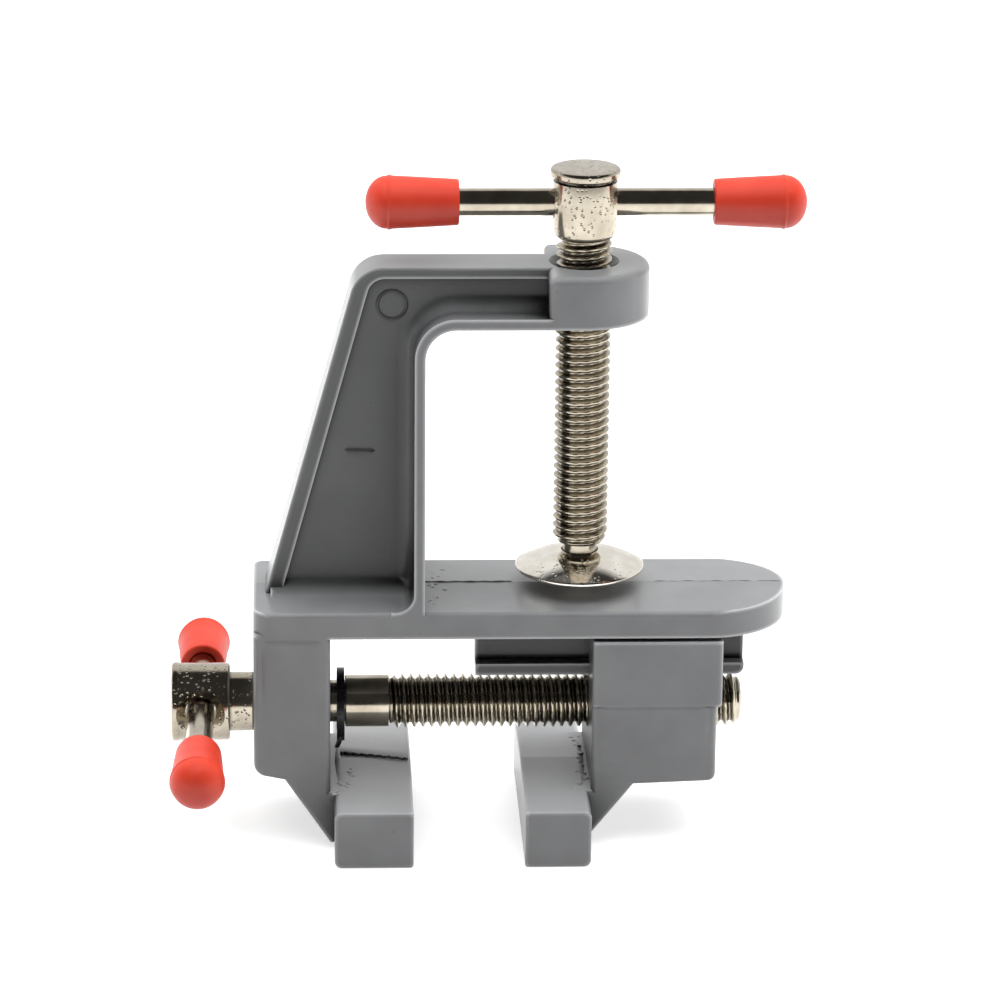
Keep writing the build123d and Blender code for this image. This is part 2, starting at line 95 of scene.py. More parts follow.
def camera_axes(azimuth, elevation, roll):
    """Right, up and back directions: back points from target to camera, and roll turns right towards up."""
    back = np.array([
        np.sin(azimuth) * np.cos(elevation),
        -np.cos(azimuth) * np.cos(elevation),
        np.sin(elevation),
    ])
    right = np.array([np.cos(azimuth), np.sin(azimuth), 0.0])
    up = np.cross(back, right)
    turned_right = np.cos(roll) * right + np.sin(roll) * up
    turned_up = -np.sin(roll) * right + np.cos(roll) * up
    return turned_right, turned_up, back


right, up, back = camera_axes(camera_azimuth, camera_elevation, camera_roll)
camera_data = bpy.data.cameras.new("photo_camera")
camera_data.sensor_width = SENSOR_MM
camera_data.lens = focal_pixels / PICTURE_PIXELS * SENSOR_MM
camera = bpy.data.objects.new("photo_camera", camera_data)
bpy.context.scene.collection.objects.link(camera)
camera_place = (camera_target_mm + back * camera_distance_mm) * MM
camera_matrix = np.eye(4)
camera_matrix[:3, 0], camera_matrix[:3, 1], camera_matrix[:3, 2] = right, up, back
camera_matrix[:3, 3] = camera_place
camera.matrix_world = Matrix(camera_matrix.tolist())
bpy.context.scene.camera = camera
print("lens", round(camera_data.lens, 1), "mm, camera at", camera_place.round(3))


# %% [markdown]
# ## Surfaces from arrays
#
# Every new piece is a set of grids: an array of points with two parameters, one along each side of the grid.
# Neighbouring grids share their border points, so merging points that coincide sews them into one closed
# skin. Normals are recalculated after that, because grids may be wound either way round.

# %% Grid helpers
MERGE_DISTANCE_MM = 0.002
SHARP_ANGLE = np.radians(32)
FACES_AT_AN_EDGE = 2


def grid_faces(rows, columns, start):
    """Quads of a rows by columns grid whose first point has the number start."""
    number = start + np.arange(rows * columns).reshape(rows, columns)
    corners = [number[:-1, :-1], number[1:, :-1], number[1:, 1:], number[:-1, 1:]]
    return np.stack(corners, axis=-1).reshape(-1, 4)


def open_edges(mesh):
    """How many edges of a mesh do not lie between two faces. A closed skin has none."""
    loop_edges = np.empty(len(mesh.loops), dtype=np.int64)
    mesh.loops.foreach_get("edge_index", loop_edges)
    uses = np.bincount(loop_edges, minlength=len(mesh.edges))
    return int(np.sum(uses != FACES_AT_AN_EDGE))


def sewn_piece(name, grids_mm, marked=None):
    """One object from several grids in millimetres: sewn where borders meet, smooth but for sharp edges.

    marked takes all points in millimetres and gives at each, 0 to 1, its pits on nickel and its painted shade
    on paint.
    """
    starts = np.cumsum([0] + [grid.shape[0] * grid.shape[1] for grid in grids_mm])
    points = np.concatenate([grid.reshape(-1, 3) for grid in grids_mm]) * MM
    faces = np.concatenate([
        grid_faces(grid.shape[0], grid.shape[1], start) for grid, start in zip(grids_mm, starts)
    ])
    mesh = bpy.data.meshes.new(name)
    mesh.from_pydata(points, [], faces.tolist())
    shell = bmesh.new()
    shell.from_mesh(mesh)
    bmesh.ops.remove_doubles(shell, verts=shell.verts, dist=MERGE_DISTANCE_MM * MM)
    bmesh.ops.dissolve_degenerate(shell, edges=shell.edges, dist=MERGE_DISTANCE_MM * MM)
    bmesh.ops.recalc_face_normals(shell, faces=shell.faces)
    shell.to_mesh(mesh)
    shell.free()
    mesh.shade_smooth()
    mesh.set_sharp_from_angle(angle=SHARP_ANGLE)
    if marked is not None:
        flat = np.empty(len(mesh.vertices) * 3)
        mesh.vertices.foreach_get("co", flat)
        share = np.broadcast_to(marked(flat.reshape(-1, 3) / MM), len(mesh.vertices)).astype(np.float32)
        mesh.attributes.new("marked", "FLOAT", "POINT").data.foreach_set("value", share)
    piece = bpy.data.objects.new(name, mesh)
    bpy.context.scene.collection.objects.link(piece)
    print(name, len(mesh.polygons), "faces, open edges:", open_edges(mesh))
    return piece


print("grids are sewn where points are within", MERGE_DISTANCE_MM, "mm")


# %% [markdown]
# ## Turned shapes
#
# Screws, bars, caps and the foot are all turned on a lathe or look as if they were. A turned surface is a
# profile, given as distance along the axis and radius, carried round a full circle. The axis frame says which
# way is along the axis and which way a cross hole would run, so that one function serves the level screw and
# the upright one.

# %% Turned surface
CIRCLE_STEPS = 80
circle_angles = np.linspace(-np.pi / 2, 3 * np.pi / 2, CIRCLE_STEPS + 1)


def axis_frame(origin_mm, along, across):
    """Place of an axis in millimetres, its direction, the cross-hole direction and the third one."""
    along, across = np.array(along, float), np.array(across, float)
    return np.array(origin_mm, float), along, across, np.cross(along, across)


def place(axis, distance, across_part, third_part):
    """Points at a distance along an axis and at two parts off it, as an array of any grid shape."""
    origin, along, across, third = axis
    return (
        origin
        + np.asarray(distance)[..., None] * along
        + np.asarray(across_part)[..., None] * across
        + np.asarray(third_part)[..., None] * third
    )


def turned(axis, profile):
    """Radius of the profile times cosine and sine of the angle, at the profile's distance along the axis."""
    profile = np.array(profile, float)
    distance = np.repeat(profile[:, :1], len(circle_angles), axis=1)
    radius = profile[:, 1:]
    return place(axis, distance, radius * np.cos(circle_angles), radius * np.sin(circle_angles))


def rounded_corner(centre, radius, start_deg, end_deg, steps=6):
    """Profile points on a circle, for a corner that is rounded rather than sharp."""
    angle = np.radians(np.linspace(start_deg, end_deg, steps))
    return [(centre[0] + radius * np.cos(a), centre[1] + radius * np.sin(a)) for a in angle]


jaw_low, jaw_high = (np.array(corner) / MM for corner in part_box("jaw_screw"))
clamp_low, clamp_high = (np.array(corner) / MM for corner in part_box("clamp_screw"))
screw_z = (jaw_low[2] + jaw_high[2]) / 2
jaw_axis = axis_frame((0, 0, screw_z), (1, 0, 0), (0, 1, 0))
clamp_axis = axis_frame((0, 0, 0), (0, 0, 1), (1, 0, 0))
print("jaw screw axis at height", screw_z.round(2), "mm")


# %% [markdown]
# ## Threads
#
# An 8 mm coarse thread climbs 1.25 mm a turn. On a grid of distance and angle, the thread's phase is the
# distance in pitches less the angle in turns, which makes the groove wind as a right-hand screw. The flanks
# are steep and the crests and roots are narrow flats. Near both ends the ridge sinks to the radius of the
# root, where the next surface joins on.

# %% Thread surface
THREAD_PITCH_MM = 1.25
CREST_RADIUS_MM = 3.92
ROOT_RADIUS_MM = 3.2
STEPS_PER_PITCH = 14
RUN_OUT_MM = 0.9
FLANK_STEEPNESS, ROOT_FLAT, FLANK_ROUNDING = 2.9, 0.2, 0.35


def thread(axis, start, end):
    """Root radius plus the thread's height: a trapezoid wave of the phase, faded out at both ends."""
    count = int(np.ceil((end - start) / THREAD_PITCH_MM * STEPS_PER_PITCH)) + 1
    distance, angle = np.meshgrid(np.linspace(start, end, count), circle_angles, indexing="ij")
    phase = (distance / THREAD_PITCH_MM - angle / (2 * np.pi)) % 1.0
    flank = np.clip((0.5 - np.abs(phase - 0.5)) * FLANK_STEEPNESS - ROOT_FLAT, 0, 1)
    rounded = flank * flank * (3 - 2 * flank)
    wave = rounded * FLANK_ROUNDING + flank * (1 - FLANK_ROUNDING)
    fade = np.clip(np.minimum(distance - start, end - distance) / RUN_OUT_MM, 0, 1)
    radius = ROOT_RADIUS_MM + (CREST_RADIUS_MM - ROOT_RADIUS_MM) * wave * fade
    return place(axis, distance, radius * np.cos(angle), radius * np.sin(angle))


print("thread of", THREAD_PITCH_MM, "mm pitch and", round(CREST_RADIUS_MM - ROOT_RADIUS_MM, 2), "mm depth")


# %% [markdown]
# ## A drilled head
#
# Each screw has a head with a cross hole for its bar. A boolean cut would do, but a grid can go round the
# hole: one parameter runs round the hole's mouth, the other from the mouth outwards to the border of half the
# head, which is a rectangle when it is unrolled. The countersink and the hole itself continue inwards from
# the same mouth.

# %% Head with a cross hole
HALF_STEPS = CIRCLE_STEPS // 2
SIDE_STEPS = 16
RING_COUNT, RING_CROWDING = 13, 1.3


def drilled_head(axis, radius_at, low, high, hole_at, hole_radius, mouth_radius):
    """Two half heads, each a blend in angle and distance from the mouth's circle to the half's border."""
    angles = np.linspace(-np.pi / 2, np.pi / 2, HALF_STEPS + 1)
    sides = np.linspace(low, high, SIDE_STEPS + 1)
    upright = np.full(SIDE_STEPS - 1, np.pi / 2)
    border_angle = np.concatenate([angles, upright, angles[::-1], -upright, angles[:1]])
    level = np.ones(HALF_STEPS + 1)
    border_at = np.concatenate([low * level, sides[1:-1], high * level, sides[-2:0:-1], sides[:1]])
    head_radius = radius_at(np.array(hole_at))
    round_hole = np.arctan2(border_at - hole_at, head_radius * border_angle)
    mouth_at = hole_at + mouth_radius * np.sin(round_hole)
    mouth_angle = np.arcsin(mouth_radius * np.cos(round_hole) / radius_at(mouth_at))
    share = np.linspace(0, 1, RING_COUNT)[:, None] ** RING_CROWDING
    angle = mouth_angle + (border_angle - mouth_angle) * share
    at = mouth_at + (border_at - mouth_at) * share
    skin_depth = radius_at(at) * np.cos(angle)
    skin_third = radius_at(at) * np.sin(angle)
    sink = mouth_radius - hole_radius
    inner_depth = np.array([head_radius - sink, 0.0])[:, None] * np.ones_like(round_hole)
    inner_third = hole_radius * np.cos(round_hole) * np.ones((2, 1))
    inner_at = hole_at + hole_radius * np.sin(round_hole) * np.ones((2, 1))
    mouth = np.stack([at[0], skin_depth[0], skin_third[0]])
    inside = np.stack([inner_at, inner_depth, inner_third], axis=1)
    rings = np.concatenate([mouth[None], inside])
    grids = []
    for side in (1, -1):
        grids.append(place(axis, at, side * skin_depth, skin_third))
        grids.append(place(axis, rings[:, 0], side * rings[:, 1], rings[:, 2]))
    return grids


print("a drilled head has", RING_COUNT, "rings round each mouth of its hole")


# %% [markdown]
# ## Jaw screw
#
# The level screw has a round head, a collar against the block, a groove for its clip, a plain shoulder and a
# long thread. The vise holds its length still, so it turns in place and draws the moving jaw along.

# %% Build the jaw screw
JAW_HEAD_RADIUS, JAW_HEAD_LENGTH, JAW_MOUTH_RADIUS = 5.6, 8.4, 3.5
HEAD_EDGE, HEAD_FACE_RING = 0.35, 2.0
HEAD_RIM_HEIGHT, HEAD_RIM_LENGTH, HEAD_RIM_FALL = 0.12, 1.1, 0.15
COLLAR_RADIUS, COLLAR_LENGTH, COLLAR_CHAMFER = 4.3, 3.4, 0.2
JOURNAL_RADIUS, JOURNAL_LENGTH = 3.92, 10.95
GROOVE_RADIUS, GROOVE_WIDTH = 3.05, 2.2
SHOULDER_RADIUS, SHOULDER_LENGTH, SHOULDER_CHAMFER = 3.75, 6.4, 0.15
TIP_LENGTH, TIP_CHAMFER = 0.3, 0.4
HOLE_CLEARANCE = 0.3
head_outer = jaw_low[0]
head_inner = head_outer + JAW_HEAD_LENGTH
head_bar_at = (head_outer + head_inner) / 2
collar_end = head_inner + COLLAR_LENGTH
groove_start = collar_end + JOURNAL_LENGTH
groove_end = groove_start + GROOVE_WIDTH
jaw_thread_start = groove_end + SHOULDER_LENGTH
jaw_thread_end = jaw_high[0]
bar_low, bar_high = (np.array(corner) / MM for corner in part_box("jaw_handle_bar"))
BAR_RADIUS = (bar_high[0] - bar_low[0]) / 2
HOLE_RADIUS = BAR_RADIUS + HOLE_CLEARANCE


def jaw_head_radius(at):
    """Plain cylinder with a rim an eighth of a millimetre proud at its outer end."""
    rim = np.clip((head_outer + HEAD_RIM_LENGTH - at) / HEAD_RIM_FALL, 0, 1)
    return JAW_HEAD_RADIUS + HEAD_RIM_HEIGHT * rim


jaw_screw_grids = drilled_head(
    jaw_axis, jaw_head_radius, head_outer + HEAD_EDGE, head_inner - HEAD_EDGE,
    head_bar_at, HOLE_RADIUS, JAW_MOUTH_RADIUS,
)
rim_radius = jaw_head_radius(head_outer)
jaw_screw_grids.append(turned(jaw_axis, [
    (head_outer, 0.0),
    (head_outer, HEAD_FACE_RING),
    *rounded_corner((head_outer + HEAD_EDGE, rim_radius - HEAD_EDGE), HEAD_EDGE, 180, 90),
]))
jaw_screw_grids.append(turned(jaw_axis, [
    *rounded_corner((head_inner - HEAD_EDGE, JAW_HEAD_RADIUS - HEAD_EDGE), HEAD_EDGE, 90, 0),
    (head_inner, COLLAR_RADIUS),
    (collar_end - COLLAR_CHAMFER, COLLAR_RADIUS),
    (collar_end, COLLAR_RADIUS - COLLAR_CHAMFER),
    (collar_end, JOURNAL_RADIUS),
    (groove_start, JOURNAL_RADIUS),
    (groove_start, GROOVE_RADIUS),
    (groove_end, GROOVE_RADIUS),
    (groove_end, SHOULDER_RADIUS - SHOULDER_CHAMFER),
    (groove_end + SHOULDER_CHAMFER, SHOULDER_RADIUS),
    (jaw_thread_start - SHOULDER_CHAMFER, SHOULDER_RADIUS),
    (jaw_thread_start, SHOULDER_RADIUS - SHOULDER_CHAMFER),
    (jaw_thread_start, ROOT_RADIUS_MM),
]))
jaw_screw_grids.append(thread(jaw_axis, jaw_thread_start, jaw_thread_end - TIP_LENGTH))
jaw_screw_grids.append(turned(jaw_axis, [
    (jaw_thread_end - TIP_LENGTH, ROOT_RADIUS_MM),
    (jaw_thread_end, ROOT_RADIUS_MM - TIP_CHAMFER),
    (jaw_thread_end, 0.0),
]))
jaw_screw_piece = sewn_piece(
    "jaw_screw_threaded", jaw_screw_grids, lambda points: (points[:, 0] < collar_end) * 1.0
)
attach(jaw_screw_piece, "jaw_spindle")
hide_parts("jaw_screw")
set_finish(jaw_screw_piece, "nickel")


# %% [markdown]
# ## Clamp screw
#
# The upright screw ends in a bare neck and a peened button that keep the foot on. Its head is a faint barrel
# with a rounded lower edge, and has a thin disc on top that stands out over it.

# %% Build the clamp screw
CLAMP_HEAD_RADIUS, CLAMP_HEAD_HEIGHT, CLAMP_MOUTH_RADIUS = 4.7, 10.0, 2.6
BARREL_LOSS, BARREL_REACH, HEAD_ROUND = 0.3, 4.0, 0.9
DISC_RADIUS, DISC_HEIGHT, DISC_FACE_RING = 4.95, 1.2, 3.0
DISC_LOW_ROUND, DISC_TOP_ROUND = 0.25, 0.45
DISC_GROOVE_HEIGHT, DISC_GROOVE_RADII, DISC_GROOVE_STEP = 0.65, (3.9, 3.8), 0.1
BUTTON_RADIUS, BUTTON_HEIGHT, BUTTON_ROUND = 3.6, 0.9, 0.4
NECK_RADIUS, NECK_TOP = 2.5, 6.4
head_top = clamp_high[2]
head_bottom = head_top - CLAMP_HEAD_HEIGHT
disc_bottom = head_top - DISC_HEIGHT
disc_groove_bottom = disc_bottom - DISC_GROOVE_HEIGHT
clamp_bar_at = head_bottom + CLAMP_HEAD_HEIGHT / 2
button_bottom = clamp_low[2]


def clamp_head_radius(at):
    """Barrel: the full radius at the cross hole, less a quadratic of the distance from it."""
    return CLAMP_HEAD_RADIUS - BARREL_LOSS * ((at - clamp_bar_at) / BARREL_REACH) ** 2


clamp_screw_grids = drilled_head(
    clamp_axis, clamp_head_radius, head_bottom + HEAD_ROUND, disc_groove_bottom,
    clamp_bar_at, HOLE_RADIUS, CLAMP_MOUTH_RADIUS,
)
clamp_screw_grids.append(turned(clamp_axis, [
    (button_bottom, 0.0),
    (button_bottom, BUTTON_RADIUS - BUTTON_ROUND),
    *rounded_corner((button_bottom + BUTTON_ROUND, BUTTON_RADIUS - BUTTON_ROUND), BUTTON_ROUND, 180, 90),
    (button_bottom + BUTTON_HEIGHT, BUTTON_RADIUS),
    (button_bottom + BUTTON_HEIGHT, NECK_RADIUS),
    (NECK_TOP, NECK_RADIUS),
    (NECK_TOP, ROOT_RADIUS_MM),
]))
clamp_screw_grids.append(thread(clamp_axis, NECK_TOP, head_bottom))
round_end = head_bottom + HEAD_ROUND
clamp_screw_grids.append(turned(clamp_axis, [
    (head_bottom, ROOT_RADIUS_MM),
    *rounded_corner((round_end, clamp_head_radius(round_end) - HEAD_ROUND), HEAD_ROUND, 180, 90, 8),
]))
clamp_screw_grids.append(turned(clamp_axis, [
    (disc_groove_bottom, clamp_head_radius(disc_groove_bottom)),
    (disc_groove_bottom + DISC_GROOVE_STEP, DISC_GROOVE_RADII[0]),
    (disc_bottom, DISC_GROOVE_RADII[1]),
    *rounded_corner((disc_bottom + DISC_LOW_ROUND, DISC_RADIUS - DISC_LOW_ROUND), DISC_LOW_ROUND, 180, 90),
    *rounded_corner((head_top - DISC_TOP_ROUND, DISC_RADIUS - DISC_TOP_ROUND), DISC_TOP_ROUND, 90, 0),
    (head_top, DISC_FACE_RING),
    (head_top, 0.0),
]))
clamp_screw_piece = sewn_piece(
    "clamp_screw_threaded", clamp_screw_grids, lambda points: (points[:, 2] > head_bottom) * 1.0
)
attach(clamp_screw_piece, "clamp_spindle")
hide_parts("clamp_screw")
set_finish(clamp_screw_piece, "nickel")


# %% [markdown]
# ## Swivel foot
#
# The foot is a pressed disc: a shallow dome of sheet steel with a short straight rim and a hole for the
# screw's neck. Its outer and inner skins are two spheres about one centre, joined by a rounded edge.

# %% Build the foot
DOME_RISE, RIM_HEIGHT, SHEET = 2.4, 0.5, 0.9
FOOT_HOLE, DOME_INSET = 2.65, 0.05
RIM_ROUND, EDGE_ROUND = 0.2, 0.3
OUTER_STEPS, INNER_STEPS = 26, 20
FOOT_PITTED = 0.3
foot_low, foot_high = (np.array(corner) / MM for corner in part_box("clamp_foot"))
foot_radius = foot_high[0]
foot_bottom = foot_low[2]
dome_radius = (foot_radius**2 + DOME_RISE**2) / (2 * DOME_RISE)
dome_centre = foot_bottom + RIM_HEIGHT + DOME_RISE - dome_radius


def dome_profile(sphere_radius, radii):
    """Height of a sphere about the dome's centre, at each distance from the axis."""
    return np.stack([dome_centre + np.sqrt(sphere_radius**2 - radii**2), radii], axis=1)


inner_rim = np.sqrt((dome_radius - SHEET) ** 2 - (foot_bottom - dome_centre) ** 2)
rim_top = foot_bottom + RIM_HEIGHT
foot_profile = np.concatenate([
    dome_profile(dome_radius, np.linspace(FOOT_HOLE, foot_radius - DOME_INSET, OUTER_STEPS)),
    rounded_corner((rim_top - RIM_ROUND / 2, foot_radius - RIM_ROUND), RIM_ROUND, 60, 90, 4),
    rounded_corner((foot_bottom + EDGE_ROUND, foot_radius - EDGE_ROUND), EDGE_ROUND, 90, 180),
    dome_profile(dome_radius - SHEET, np.linspace(inner_rim, FOOT_HOLE, INNER_STEPS)),
    dome_profile(dome_radius, np.array([FOOT_HOLE])),
])
foot_piece = sewn_piece("clamp_foot_pressed", [turned(clamp_axis, foot_profile)], lambda points: FOOT_PITTED)
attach(foot_piece, "swivel_foot")
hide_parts("clamp_foot")
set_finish(foot_piece, "nickel")


# %% [markdown]
# ## Handle bars and caps
#
# Each bar is plain round steel that slides through its head. The caps were dipped or moulded in soft vinyl: a
# cone that widens away from its mouth, a faint ridge where the mould opened, and a blunt dome.

# %% Build bars and caps
cap_low, cap_high = (np.array(corner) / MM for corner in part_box("jaw_handle_cap_front"))
CAP_LENGTH, RIDGE_RADIUS = cap_high[1] - cap_low[1], (cap_high[0] - cap_low[0]) / 2
MOUTH_RADIUS, MOUTH_ROUND, CAP_WALL = 3.25, 0.3, 2.3
MOUTH_FLARE = (0.1, 0.15)
CONE_SWELL, CONE_END = ((2.0, 0.1), (6.0, 0.32)), 9.3
RIDGE_HEIGHT, RIDGE_ROUND, RIDGE_SETBACK = 0.14, 0.25, 0.3
DOME_LENGTH, DOME_STEPS = 3.0, 18
BAR_CHAMFER, BAR_INSET, BAR_STEPS = 0.4, 2, 9
UPRIGHT = (0, 0, 1)


def cap_profile():
    """Distance from the mouth and radius: the bar's bore, mouth, cone, ridge and a quarter ellipse."""
    ridge_at = CAP_LENGTH - DOME_LENGTH
    dome_edge = RIDGE_RADIUS - RIDGE_HEIGHT
    quarter = np.linspace(np.pi / 2, 0, DOME_STEPS)
    return np.concatenate([
        [(CAP_LENGTH - CAP_WALL, 0.0), (CAP_LENGTH - CAP_WALL, BAR_RADIUS)],
        [(MOUTH_ROUND, BAR_RADIUS), (MOUTH_FLARE[0], BAR_RADIUS + MOUTH_FLARE[1])],
        rounded_corner((MOUTH_ROUND, MOUTH_RADIUS - MOUTH_ROUND), MOUTH_ROUND, 180, 90),
        [(at, MOUTH_RADIUS + swell) for at, swell in CONE_SWELL],
        [(CONE_END, dome_edge)],
        rounded_corner((ridge_at - RIDGE_SETBACK, RIDGE_RADIUS - RIDGE_ROUND), RIDGE_ROUND, 125, 35),
        np.stack([ridge_at + DOME_LENGTH * np.cos(quarter), dome_edge * np.sin(quarter)], axis=1),
    ])


def handle(bar_node, cap_nodes, body):
    """Bar and two caps along one axis, which is the longest side of the bar's own box."""
    low, high = (np.array(corner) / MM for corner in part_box(bar_node))
    centre = (low + high) / 2
    half = np.max(high - low) / 2
    along = np.eye(3)[np.argmax(high - low)]
    for cap_node, sign in zip(cap_nodes, (-1, 1)):
        outward = axis_frame(centre + sign * along * (half + CAP_WALL - CAP_LENGTH), sign * along, UPRIGHT)
        cap = sewn_piece(cap_node + "_soft", [turned(outward, cap_profile())])
        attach(cap, body)
        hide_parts(cap_node)
        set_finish(cap, "red_vinyl")
    bar = sewn_piece(bar_node + "_round", [turned(axis_frame(centre, along, UPRIGHT), [
        (-half, 0.0),
        (-half, BAR_RADIUS - BAR_CHAMFER),
        (BAR_CHAMFER - half, BAR_RADIUS),
        *[(at, BAR_RADIUS) for at in np.linspace(BAR_INSET - half, half - BAR_INSET, BAR_STEPS)],
        (half - BAR_CHAMFER, BAR_RADIUS),
        (half, BAR_RADIUS - BAR_CHAMFER),
        (half, 0.0),
    ])])
    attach(bar, body)
    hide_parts(bar_node)
    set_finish(bar, "nickel")


handle("jaw_handle_bar", ("jaw_handle_cap_front", "jaw_handle_cap_rear"), "jaw_handle")
handle("clamp_handle_bar", ("clamp_handle_cap_left", "clamp_handle_cap_right"), "clamp_handle")


# %% [markdown]
# ## Tail of the clip
#
# The clip that keeps the jaw screw from drawing out was bent by the tool that pressed it on: one end hangs
# down as a short tail and leans towards the block. It is a flat strip along a parabola, and turns with the
# screw.

# %% Build the tail
clip_low, clip_high = (np.array(corner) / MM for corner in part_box("jaw_screw_clip"))
TAIL_SHEET, TAIL_WIDTH, TAIL_LEAN, TAIL_DROP = 0.55, 1.5, 0.6, 1.9
TAIL_Y, TAIL_TOP, TAIL_NARROWING = -3.05, 4.0, 0.35
TAIL_STEPS, TAIL_SECTION_POINTS = 12, 17


def capped(rings):
    """Rings of points with a row of each end ring's middle added, so that the tube they make is closed."""
    tips = np.repeat(rings[[0, -1]].mean(axis=1, keepdims=True), rings.shape[1], axis=1)
    return np.concatenate([tips[:1], rings, tips[1:]])


def bent_tail():
    """A rectangle carried down a path: the lean grows with the square of the drop, and the tip narrows."""
    drop = np.linspace(0, 1, TAIL_STEPS)[:, None]
    angle = np.linspace(0, 2 * np.pi, TAIL_SECTION_POINTS)
    square = np.maximum(np.abs(np.cos(angle)), np.abs(np.sin(angle)))
    narrow = 1 - TAIL_NARROWING * drop**3
    middle_x = (clip_low[0] + clip_high[0]) / 2 - TAIL_LEAN * drop**2
    x = middle_x + TAIL_SHEET / 2 * np.cos(angle) / square
    y = TAIL_Y + narrow * TAIL_WIDTH / 2 * np.sin(angle) / square
    z = np.broadcast_to(screw_z - TAIL_TOP - TAIL_DROP * drop, x.shape)
    return capped(np.stack([x, y, z], axis=-1))


tail = sewn_piece("clip_tail", [bent_tail()])
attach(tail, "jaw_spindle")
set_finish(tail, "black_steel")


# %% [markdown]
# ## Marks of the mould
#
# A die casting keeps the traces of its die: a fine fin where the halves met, a step where they did not quite
# meet, the round print of a pin that pushed the casting out, sides that stand out a little below a ledge,
# and beads where metal spat into a worn corner. Sculpting them would never repeat exactly, so each is a
# small formula that stands on the casting and rides with it. Each dips a little below its face.

# %% Fins, prints and steps
DRAFT_SLOPE = np.tan(np.radians(2.9))
SUNK = 0.15
RIDGE_ANGLES = np.linspace(0, 2 * np.pi, 13)
PRINT_POINTS, DASH_POINTS, DASH_TAPER = 49, 15, 3


def ridge_rise(height):
    """Half an ellipse above the face, of the given height, and a shallow half below it."""
    return np.where(np.sin(RIDGE_ANGLES) > 0, height, SUNK) * np.sin(RIDGE_ANGLES)


def fin(x_points, y_line, z_line, width, height):
    """A ridge along X: at each point a half ellipse of the given width and height stands on the face."""
    x = np.repeat(x_points[:, None], len(RIDGE_ANGLES), axis=1)
    y = y_line[:, None] + width / 2 * np.cos(RIDGE_ANGLES)
    z = z_line[:, None] + ridge_rise(height[:, None])
    return capped(np.stack([x, y, z], axis=-1))


def pin_print(centre, radius, width, height):
    """A ring on an upright face: a small half ellipse carried round a circle in the X and Z directions."""
    turn = np.linspace(0, 2 * np.pi, PRINT_POINTS)[:, None]
    ring = radius + width / 2 * np.cos(RIDGE_ANGLES)
    out = np.broadcast_to(ridge_rise(height), (len(turn), len(RIDGE_ANGLES)))
    return np.array(centre) + np.stack([ring * np.cos(turn), -out, ring * np.sin(turn)], axis=-1)


def gate_dash(start, end, width, height):
    """A short bead on an upright face: a half ellipse carried along X, drawn to a point at both ends."""
    along = np.linspace(0, 1, DASH_POINTS)[:, None]
    swell = np.clip(np.sin(np.pi * along) * DASH_TAPER, 0, 1)
    out = swell * ridge_rise(height)
    across = swell * width / 2 * np.cos(RIDGE_ANGLES)
    middle = np.array(start) + along[..., None] * (np.array(end) - np.array(start))
    return middle + np.stack([np.zeros_like(across), -out, across], axis=-1)


print("a top face falls", (DRAFT_SLOPE * 10).round(2), "mm in 10 mm")

# %% [markdown]
# The next three stand on larger faces. A row of shares says how far down or across the face each point of a
# section lies, and a second row how far the point is lifted off it, as a part of the full height.

# %% Skins, steps and beads
BEAD_RADIUS, BEAD_RADIUS_SPREAD = 0.18, 0.3
BEAD_HEIGHT, BEAD_HEIGHT_SPREAD = 0.2, 0.2
BEAD_POINTS = 10


def drafted_face(x_points, face_y, top_z, low_z, ledge, fade):
    """A thin skin on an upright face: out by the ledge just below its top, then tapering into the face.

    Towards both ends along X the depth fades in the same way, so that the skin has no edge of its own there.
    """
    share = np.array([0.0, 0.0, 0.03, 0.06, 0.09, 0.4, 0.75, 1.0, 1.0, 0.0])
    depth = np.array([-1.0, 0.0, 0.55, 0.95, 1.0, 0.6, 0.25, 0.0, -1.0, -1.0])
    ends = np.clip(np.minimum(x_points - x_points[0], x_points[-1] - x_points) / fade, 0, 1)
    dive = SUNK / 2
    out = np.where(depth < 0, depth * 2 * SUNK, (ledge + dive) * depth * ends[:, None] - dive)
    x = np.repeat(x_points[:, None], len(share), axis=1)
    z = np.broadcast_to(top_z + share * (low_z - top_z), out.shape)
    return capped(np.stack([x, face_y + np.sign(face_y) * out, z], axis=-1))


def parting_step(x_points, edge_y, back_y, ridge_z, height):
    """A wedge on a jaw's sloping top: full height at its front edge, falling to nothing at the back."""
    share = np.array([0.0, 0.0, 0.02, 0.15, 0.5, 1.0, 1.0, 0.0])
    lift = np.array([-SUNK, 0.75, 1.0, 0.8, 0.4, 0.0, -SUNK, -SUNK])
    x = np.repeat(x_points[:, None], len(share), axis=1)
    y = edge_y[:, None] + share * (back_y - edge_y[:, None])
    rise = np.where(lift > 0, lift * height[:, None], lift)
    z = ridge_z - np.abs(y) * DRAFT_SLOPE + rise
    return capped(np.stack([x, y, z], axis=-1))


